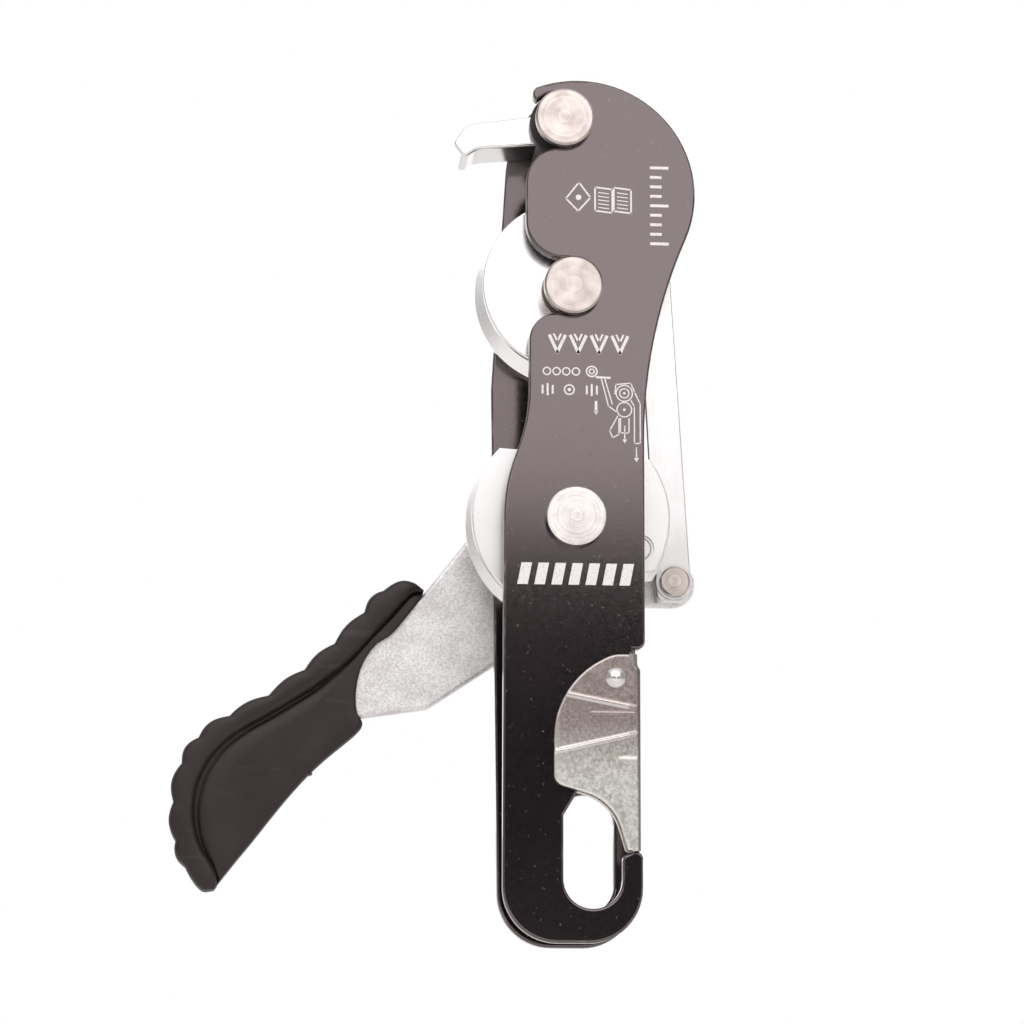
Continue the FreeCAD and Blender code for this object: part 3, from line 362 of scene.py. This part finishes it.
def finish_nodes():
    black = anodised("black_anodising_front", 0.0)
    # Painted shade: the rear plate's copy of the finish has its gloss cut to 0.75 for the shadow that
    # the front plate and bobbin cast on it.
    rear = anodised("black_anodising_rear_shaded", 0.37, 0.75)
    alloy = bright_alloy("alloy_bobbin", (-5.3, 146.8))
    cam = bright_alloy("alloy_cam", None, 0.26, 0.85)
    horn = bright_alloy("alloy_horn", None, 0.16)
    plain = plain_steel("steel_plain", (0.36, 0.35, 0.34), (0.50, 0.49, 0.48), 0.34)
    zinc = plain_steel("steel_zinc", (0.62, 0.63, 0.63), (0.78, 0.78, 0.77), 0.28)
    bronze = plain_steel("bush_bronze", (0.42, 0.29, 0.14), (0.60, 0.44, 0.24), 0.38)
    wire = brushed_steel("spring_wire", (0.42, 0.42, 0.42), (0.58, 0.57, 0.56), 0.28)
    table = {
        "front_plate": black,
        "back_plate": rear,
        "upper_bobbin": alloy,
        "lower_cam": cam,
        "brake_horn": horn,
        "bobbin_stud": turned_steel("steel_bobbin_stud", (-5.2, 144.6), STUD_TONES, 0.22, 900.0, 5e-6),
        "horn_shaft": turned_steel("steel_horn_shaft", (-7.5, 189.4), STUD_TONES, 0.22, 1100.0, 7e-6),
        "lower_axle": turned_steel("steel_lower_axle", (-4.5, 84.0), AXLE_TONES, 0.20, 1300.0, 3e-6),
        "link_lower_pin": turned_steel("steel_link_pin", (24.1, 72.0), PIN_TONES, 0.24, 1200.0, 5e-6),
        "gate_rivet": plain_steel("rivet_bright", (0.74, 0.72, 0.71), (0.86, 0.85, 0.84), 0.12),
        "handle_plate": plain_steel("steel_blasted", (0.66, 0.64, 0.64), (1.0, 0.99, 0.99), 0.38,
                                    1900.0, 2.6e-5, 0.5),
        "link_bar": brushed_steel("steel_link", (0.80, 0.79, 0.79), (0.90, 0.89, 0.89), 0.26),
        "drive_pin": plain_steel("steel_drive_pin", (0.74, 0.72, 0.71), (0.86, 0.85, 0.84), 0.2),
        # Painted shade: the two spacers are given a near-black colour to stand in for the shade and
        # dark reflection round the stud bosses.
        "horn_spacer": plain_steel("spacer_painted_shade", (0.020, 0.016, 0.017), (0.034, 0.028, 0.029),
                                   0.36, 900.0, 6e-6, 0.0),
        "axle_spacer": plain_steel("spacer_black_low", (0.020, 0.016, 0.017),
                                   (0.034, 0.028, 0.029), 0.36, 900.0, 6e-6, 0.0),
        "handle_stop_pin": plain, "bobbin_dowel": plain, "rocker_arm": plain,
        "shaft_nut": zinc, "axle_washer": zinc, "link_upper_pin": zinc, "link_washers": zinc,
        "shaft_bush": bronze, "cam_bush": bronze, "handle_bush": bronze, "plate_bush": bronze,
        "link_bush": bronze,
        "return_spring": wire, "gate_spring": wire,
    }
    for name, material in table.items():
        mesh = nodes[name].data
        mesh.materials.clear()
        mesh.materials.append(material)


# ---------------------------------------------------------------- mesh helpers

def make_piece(name, vertices, faces, material, body, smooth=True):
    """A mesh in millimetres of the CAD frame that rides on a body."""
    mesh = bpy.data.meshes.new(name)
    mesh.from_pydata([tuple(c * MM for c in v) for v in vertices], [], faces)
    mesh.materials.append(material)
    mesh.validate()
    mesh.update()
    if smooth:
        mesh.shade_smooth()
    piece = add_object(name, mesh)
    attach(piece, body)
    return piece


def spline(points):
    """A smooth curve through points, as a dense run of points."""
    knots = np.array(points, float)
    padded = np.vstack([2 * knots[0] - knots[1], knots, 2 * knots[-1] - knots[-2]])
    dense = []
    for i in range(len(knots) - 1):
        p0, p1, p2, p3 = padded[i:i + 4]
        for t in np.linspace(0, 1, 24, endpoint=False):
            dense.append(0.5 * (2 * p1 + (p2 - p0) * t + (2 * p0 - 5 * p1 + 4 * p2 - p3) * t ** 2
                                + (3 * p1 - p0 - 3 * p2 + p3) * t ** 3))
    dense.append(knots[-1])
    return np.array(dense)


def rounded_polygon(corners, steps=10):
    """The points of a polygon of x, z, radius corners with its corners rounded."""
    points = []
    for index, (x, z, radius) in enumerate(corners):
        here = np.array((x, z), float)
        back = np.array(corners[index - 1][:2], float) - here
        ahead = np.array(corners[(index + 1) % len(corners)][:2], float) - here
        back /= np.linalg.norm(back)
        ahead /= np.linalg.norm(ahead)
        half = math.acos(float(np.clip(back @ ahead, -1, 1))) / 2
        toward = (back + ahead) / np.linalg.norm(back + ahead)
        centre = here + toward * radius / math.sin(half)
        first = here + back * radius / math.tan(half) - centre
        last = here + ahead * radius / math.tan(half) - centre
        start = math.atan2(first[1], first[0])
        turn = (math.atan2(last[1], last[0]) - start + math.pi) % (2 * math.pi) - math.pi
        for k in range(steps + 1):
            angle = start + turn * k / steps
            points.append(centre + radius * np.array((math.cos(angle), math.sin(angle))))
    return np.array(points)


def distance_to(points, outline):
    """Each point's distance to a closed outline."""
    starts = outline
    runs = np.roll(outline, -1, axis=0) - outline
    length = np.maximum((runs ** 2).sum(1), 1e-12)
    best = np.full(len(points), 1e9)
    for start, run, size in zip(starts, runs, length):
        share = np.clip(((points - start) @ run) / size, 0, 1)
        away = np.linalg.norm(points - start - share[:, None] * run, axis=1)
        best = np.minimum(best, away)
    return best


def step(value, low, high):
    """A smooth step from nought at low to one at high, either way round."""
    share = np.clip((value - low) / (high - low), 0, 1)
    return share * share * (3 - 2 * share)


# ---------------------------------------------------------------- moulded grip

GRIP_FRONT, GRIP_REAR = 13.6, 24.4
SCALLOP_RISE = 1.15
# the face drops away by this much over the first and the last stretch of the outer edge
END_DROP, TOP_STRETCH, TIP_STRETCH = 1.6, 7.0, 4.5
# a flash nub on the inner edge: its place along the grip as a share, half width and height
NUB_AT, NUB_WIDE, NUB_RISE = 0.655, 0.35, 0.7
# the valleys between the finger bumps, from the top of the grip to its tip
SCALLOP_VALLEYS = [
    (-52.6, 69.2), (-57.4, 63.4), (-65.1, 54.9), (-72.7, 48.0), (-81.9, 41.2), (-92.1, 35.7),
    (-99.7, 29.6), (-104.0, 23.0), (-105.9, 12.9), (-105.1, 3.0), (-102.4, -3.5),
]
# stations from the top to the tip: outer edge, groove and inner edge
GRIP_STATIONS = [
    ((-41.6, 69.2), (-41.8, 68.8), (-41.7, 68.6)),
    ((-44.4, 71.2), (-44.4, 68.3), (-43.0, 66.2)),
    ((-48.4, 71.4), (-47.2, 65.5), (-46.1, 62.1)),
    ((-53.0, 68.2), (-51.0, 61.0), (-50.0, 57.5)),
    ((-57.6, 62.6), (-55.2, 56.5), (-54.3, 54.4)),
    ((-62.8, 56.9), (-60.0, 51.1), (-57.6, 49.1)),
    ((-68.4, 51.3), (-65.2, 46.6), (-59.0, 42.8)),
    ((-74.3, 46.4), (-70.4, 42.6), (-58.8, 37.4)),
    ((-80.1, 42.0), (-76.2, 39.0), (-57.3, 34.0)),
    ((-86.1, 38.5), (-82.4, 35.2), (-58.8, 31.6)),
    ((-92.1, 35.3), (-88.0, 32.0), (-62.2, 28.6)),
    ((-98.2, 31.2), (-93.2, 28.0), (-66.6, 24.9)),
    ((-102.6, 25.7), (-97.0, 23.4), (-71.2, 20.5)),
    ((-105.1, 18.9), (-99.5, 17.8), (-76.0, 15.1)),
    ((-105.9, 11.4), (-100.4, 11.8), (-80.8, 9.1)),
    ((-105.2, 3.6), (-99.7, 5.6), (-85.5, 3.0)),
    ((-103.0, -2.5), (-97.8, 0.6), (-89.3, -1.7)),
    ((-100.7, -6.8), (-95.4, -3.2), (-92.1, -5.3)),
    ((-98.0, -9.6), (-94.2, -6.2), (-93.4, -7.0)),
    ((-95.2, -9.5), (-94.3, -8.3), (-94.1, -7.9)),
]
# across the front: distance as a share of the rim band or of the panel, then depth below the front
BAND_SECTION = [(0.0, 2.2), (0.03, 1.0), (0.09, 0.35), (0.2, 0.05), (0.5, -0.0),
                (0.78, 0.05), (0.88, 0.3), (0.96, 1.5)]
PANEL_SECTION = [(0.0, 2.9), (0.03, 3.1), (0.06, 2.6), (0.1, 2.15), (0.3, 2.0), (0.5, 2.05),
                 (0.75, 2.0), (0.93, 2.0), (0.975, 2.25), (1.0, 3.2)]


def make_grip():
    """Cross-sections from the top of the grip to its tip, with the finger bumps on the outer edge."""
    outer, groove, inner = (spline([station[k] for station in GRIP_STATIONS]) for k in range(3))
    travel = np.concatenate([[0], np.cumsum(np.linalg.norm(np.diff(outer, axis=0), axis=1))])
    total = travel[-1]
    marks = np.linspace(0, total, 380)
    valleys = [travel[np.argmin(np.linalg.norm(outer - valley, axis=1))]
               for valley in SCALLOP_VALLEYS]
    outer, groove, inner = (
        np.stack([np.interp(marks, travel, line[:, axis]) for axis in (0, 1)], axis=1)
        for line in (outer, groove, inner))
    heading = np.gradient(outer, axis=0)
    heading /= np.linalg.norm(heading, axis=1)[:, None]
    outward = np.stack([-heading[:, 1], heading[:, 0]], axis=1)
    outward *= np.sign(((outer - inner) * outward).sum(1))[:, None]
    phase = np.interp(marks, valleys, np.arange(len(valleys)))
    wave = np.abs(np.sin(np.pi * phase))
    outer = outer + outward * (wave * SCALLOP_RISE)[:, None]
    nub = np.exp(-((marks - NUB_AT * total) / NUB_WIDE) ** 2) * NUB_RISE
    inner_out = inner - outer
    inner_out /= np.linalg.norm(inner_out, axis=1)[:, None]
    inner = inner + inner_out * nub[:, None]

    middle = (GRIP_FRONT + GRIP_REAR) / 2
    vertices, rings = [], []
    drops = END_DROP * (1 - step(marks, 0.0, TOP_STRETCH) * step(marks, total, total - TIP_STRETCH))
    for o, g, i, drop in zip(outer, groove, inner, drops):
        row = [(o, middle)]
        for share, depth in BAND_SECTION:
            row.append((o + (g - o) * share, GRIP_FRONT + depth + drop))
        for share, depth in PANEL_SECTION:
            row.append((g + (i - g) * share, GRIP_FRONT + depth + drop))
        row.append((i, middle))
        front = [(p[0], y, p[1]) for p, y in row]
        rear = [(x, 2 * middle - y, z) for x, y, z in front[-2:0:-1]]
        rings.append(range(len(vertices), len(vertices) + len(front) + len(rear)))
        vertices.extend(front + rear)
    faces = []
    size = len(rings[0])
    for near, far in zip(rings[:-1], rings[1:]):
        for k in range(size):
            faces.append((near[k], near[(k + 1) % size], far[(k + 1) % size], far[k]))
    faces.append(tuple(rings[0]))
    faces.append(tuple(reversed(rings[-1])))
    grip = make_piece("grip_moulding", vertices, faces, moulded_nylon("black_nylon"), "handle")
    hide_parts("grip")


# ---------------------------------------------------------------- stamped gate

GATE_FACE = -14.15
GATE_REAR = -7.85
GATE_SHEET = 0.9
GATE_CORNERS = [
    (12.0, 48.9, 0.6), (5.2, 48.9, 9.0), (-10.05, 41.3, 22.5), (-10.05, 15.9, 3.2),
    (4.9, 11.6, 13.0), (8.7, -0.9, 0.8), (12.0, -0.9, 0.6),
]
UPPER_CREASE = ((-7.0, 38.5), (10.7, 35.1))
LOWER_CREASE = ((-9.6, 23.9), (10.7, 28.6))


def crease_height(x, z, line):
    """How far a point lies above a crease."""
    (x1, z1), (x2, z2) = line
    share = (x - x1) / (x2 - x1)
    return z - (z1 + (z2 - z1) * share)


def gate_relief(x, z, edge):
    """How far the stamped face stands out of its plane, in millimetres."""
    above = crease_height(x, z, UPPER_CREASE)
    over = crease_height(x, z, LOWER_CREASE)
    inside = step(x, -9.4, -8.6) * step(x, 10.85, 10.65)
    sunk = step(above, 0.1, -0.5) * step(over, -0.1, 0.5) * inside
    beads = (np.exp(-(above / 0.42) ** 2) + np.exp(-(over / 0.42) ** 2)) * step(x, 11.0, 10.5)
    slot = np.exp(-((z - 33.75) / 0.22) ** 2) * step(x, -0.9, -0.3) * step(x, 10.7, 10.3)
    tab = step(x, 5.6, 7.0) * step(x, 11.1, 10.9) * step(z, 22.7, 22.3) * step(z, 4.0, 14.0)
    corner = step(x, 9.0, 9.3) * step(x, 11.3, 11.0) * step(z, 40.8, 41.1)
    rolled = 0.55 * (1 - np.sqrt(1 - np.clip(1 - edge / 0.7, 0, 1) ** 2))
    return 0.34 * beads - 0.30 * sunk + 0.16 * slot + 0.14 * tab + 0.12 * corner - rolled


def make_gate():
    """The stamped face, its fold round the right edge and the rear leaf, row by row."""
    outline = rounded_polygon(GATE_CORNERS)
    low, high = outline[:, 1].min() + 0.01, outline[:, 1].max() - 0.01
    share = np.linspace(0, 1, 190)
    rows = low + (high - low) * (share - 0.04 * np.sin(2 * np.pi * share))
    rows = np.sort(np.clip(rows, low, high))
    fold = 1.1
    columns = 96
    vertices, faces = [], []
    loop = np.vstack([outline, outline[:1]])
    for z in rows:
        crossings = []
        for (x1, z1), (x2, z2) in zip(loop[:-1], loop[1:]):
            if (z1 - z) * (z2 - z) <= 0 and abs(z2 - z1) > 1e-9:
                crossings.append(x1 + (x2 - x1) * (z - z1) / (z2 - z1))
        left = min(crossings)
        right = 12.0 - 0.75 * float(step(np.array(z), 44.6, 46.4))
        t = np.linspace(0, 1, columns) ** 1.15
        x = left + (right - fold - left) * t
        points = np.stack([x, np.full(columns, z)], axis=1)
        edge = distance_to(points, outline)
        lift = gate_relief(x, np.full(columns, z), np.where(x > right - fold - 1, 2.0, edge))
        row = [(px, GATE_FACE - h, z) for px, h in zip(x, lift)]
        for k in range(1, 7):
            angle = math.pi / 2 * k / 6
            row.append((right - fold + fold * math.sin(angle),
                        GATE_FACE + fold - fold * math.cos(angle), z))
        for k in range(1, 7):
            angle = math.pi / 2 * k / 6
            row.append((right - fold + fold * math.cos(angle),
                        GATE_REAR - fold + fold * math.sin(angle), z))
        for s in np.linspace(0, 1, 14)[1:]:
            row.append((right - fold + (left - right + fold) * s, GATE_REAR, z))
        ring_size = len(row)
        vertices.extend(row)
    for r in range(len(rows) - 1):
        for k in range(ring_size - 1):
            a = r * ring_size + k
            faces.append((a, a + ring_size, a + ring_size + 1, a + 1))
    gate = make_piece("gate_stamping", vertices, faces, gate_zinc("gate_zinc"), "spring_gate")
    thick = gate.modifiers.new("sheet", "SOLIDIFY")
    thick.thickness = GATE_SHEET * MM
    thick.offset = 1.0
    thick.use_even_offset = False
    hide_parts("gate")


# ---------------------------------------------------------------- white printing

PRINT_FACE = -13.0
PRINT_RISE = 0.03


class Print:
    """Flat white shapes that lie on the front plate."""

    def __init__(self, name, material):
        self.name, self.material = name, material
        self.vertices, self.faces = [], []

    def shape(self, points):
        """A filled convex outline."""
        count = len(points)
        area = sum(points[i - 1][0] * points[i][1] - points[i][0] * points[i - 1][1]
                   for i in range(count))
        if area < 0:
            points = points[::-1]
        base = len(self.vertices)
        for y in (PRINT_FACE - PRINT_RISE, PRINT_FACE + PRINT_RISE):
            self.vertices.extend((x, y, z) for x, z in points)
        self.faces.append(tuple(base + i for i in range(count)))
        self.faces.append(tuple(base + count + i for i in reversed(range(count))))
        for i in range(count):
            j = (i + 1) % count
            self.faces.append((base + j, base + i, base + count + i, base + count + j))

    def stroke(self, points, width, closed=False):
        """A line of constant width, one quad to each run."""
        path = [Vector((p[0], p[1])) for p in points]
        if closed:
            path.append(path[0])
        for near, far in zip(path[:-1], path[1:]):
            along = (far - near).normalized()
            side = Vector((-along.y, along.x)) * width / 2
            reach = along * width * 0.3
            self.shape([tuple(near - reach - side), tuple(far + reach - side),
                        tuple(far + reach + side), tuple(near - reach + side)])

    def ring(self, x, z, radius, width, start=0.0, sweep=360.0, squash=1.0):
        count = max(8, int(sweep / 12))
        rim = []
        for k in range(count + 1):
            angle = math.radians(start + sweep * k / count)
            rim.append((angle, math.cos(angle), math.sin(angle)))
        for (_, c1, s1), (_, c2, s2) in zip(rim[:-1], rim[1:]):
            inner, outer = radius - width / 2, radius + width / 2
            self.shape([(x + c1 * inner, z + s1 * inner * squash),
                        (x + c1 * outer, z + s1 * outer * squash),
                        (x + c2 * outer, z + s2 * outer * squash),
                        (x + c2 * inner, z + s2 * inner * squash)])

    def dot(self, x, z, radius):
        self.shape([(x + radius * math.cos(math.radians(a)), z + radius * math.sin(math.radians(a)))
                    for a in range(0, 360, 30)])

    def arrow(self, x, top, bottom, width, head):
        self.stroke([(x, top), (x, bottom + head)], width)
        self.shape([(x - head * 0.6, bottom + head), (x + head * 0.6, bottom + head), (x, bottom)])

    def finish(self):
        return make_piece(self.name, self.vertices, self.faces, self.material, "front_side",
                          smooth=False)


def print_head_marks(ink):
    """A plain diamond beside two hatched leaves, and a scale of short bars."""
    art = Print("print_head_marks", ink)
    line = 0.42
    art.stroke([(-7.0, 168.2), (-3.6, 172.6), (-0.6, 168.6), (-3.8, 164.9)], line, closed=True)
    art.dot(-3.7, 168.6, 0.75)
    for left in (0.6, 5.5):
        art.stroke([(left, 171.4), (left + 4.5, 170.9), (left + 4.5, 164.6), (left, 165.1)],
                   line, closed=True)
        for k in range(5):
            z = 170.0 - k * 1.0
            art.stroke([(left + 0.9, z), (left + 3.6, z - 0.3)], 0.26)
    for k in range(9):
        z = 177.0 - k * 2.55
        long = 4.4 if k % 4 == 0 else 2.6
        art.stroke([(15.2, z), (15.2 + long, z)], 0.75)
    art.finish()


def print_middle_marks(ink):
    """Four chevrons that point down, rings for the rope and bars for its sizes."""
    art = Print("print_rope_marks", ink)
    for k in range(4):
        x = -9.2 + k * 5.4
        art.stroke([(x - 2.0, 131.6), (x, 127.2), (x + 2.0, 131.6)], 0.8)
        art.stroke([(x - 0.9, 132.0), (x, 130.1), (x + 0.9, 132.0)], 0.5)
    for k in range(4):
        x = -11.9 + k * 2.5
        art.ring(x, 122.2, 0.95, 0.34)
    art.ring(-0.3, 122.3, 1.35, 0.36)
    art.ring(-0.3, 122.3, 0.62, 0.32)
    for k, tall in enumerate((2.0, 2.9, 2.0)):
        art.stroke([(-13.0 + k * 1.3, 117.4 - tall / 2), (-13.0 + k * 1.3, 117.4 + tall / 2)], 0.5)
    art.ring(-6.1, 117.4, 1.25, 0.36)
    art.dot(-6.1, 117.4, 0.45)
    for k, tall in enumerate((2.0, 2.9, 2.0)):
        art.stroke([(-1.6 + k * 1.3, 117.4 - tall / 2), (-1.6 + k * 1.3, 117.4 + tall / 2)], 0.5)
    art.finish()


def print_route(ink):
    """A rope that comes down between two round bobbins and leaves at the right."""
    art = Print("print_rope_route", ink)
    line = 0.3
    art.stroke([(0.9, 120.8), (4.4, 120.7)], 0.55)
    art.stroke([(2.2, 120.3), (4.0, 113.3), (5.9, 111.9)], line)
    art.stroke([(3.1, 120.3), (5.0, 113.8)], line)
    art.ring(8.1, 116.7, 2.1, line)
    art.ring(8.1, 116.7, 1.2, line)
    art.dot(8.1, 116.7, 0.35)
    art.ring(8.1, 112.4, 1.9, line)
    art.dot(8.1, 112.4, 0.35)
    art.stroke([(5.7, 116.5), (5.9, 119.0), (9.8, 119.4), (10.8, 117.0), (12.2, 114.0),
                (12.2, 103.6), (10.7, 103.6), (10.7, 113.3), (9.8, 114.9)], line)
    art.stroke([(6.4, 110.7), (4.3, 106.8), (5.1, 105.0), (6.7, 105.9), (6.7, 110.0)], line)
    art.stroke([(7.1, 110.1), (7.1, 106.3), (9.3, 106.3), (9.3, 110.1)], line)
    art.arrow(0.8, 114.3, 110.9, 0.7, 1.1)
    art.arrow(8.2, 108.1, 103.6, line, 1.0)
    art.arrow(11.2, 102.5, 98.7, line, 1.1)
    art.finish()


def print_bars(ink):
    """Seven slanted bars in place of lettering."""
    art = Print("print_slanted_bars", ink)
    for k in range(7):
        x = -19.4 + k * 4.35
        lean = 1.1
        wide = 2.7
        art.shape([(x, 66.6), (x + wide, 66.6), (x + wide + lean, 72.2), (x + lean, 72.2)])
    art.finish()


# ---------------------------------------------------------------- build

make_camera()
make_world()
make_floor()
softbox("key", (0.0, -0.82, 0.603), MIDDLE, 1.5, 0.8, 6.9, (1.0, 0.97, 0.97))
softbox("rear", (0.1, 1.3, 0.6), MIDDLE, 1.2, 1.0, 3.0)
finish_nodes()
make_grip()
make_gate()
ink = white_ink("white_ink")
print_head_marks(ink)
print_middle_marks(ink)
print_route(ink)
print_bars(ink)
scene.view_settings.view_transform = "Standard"
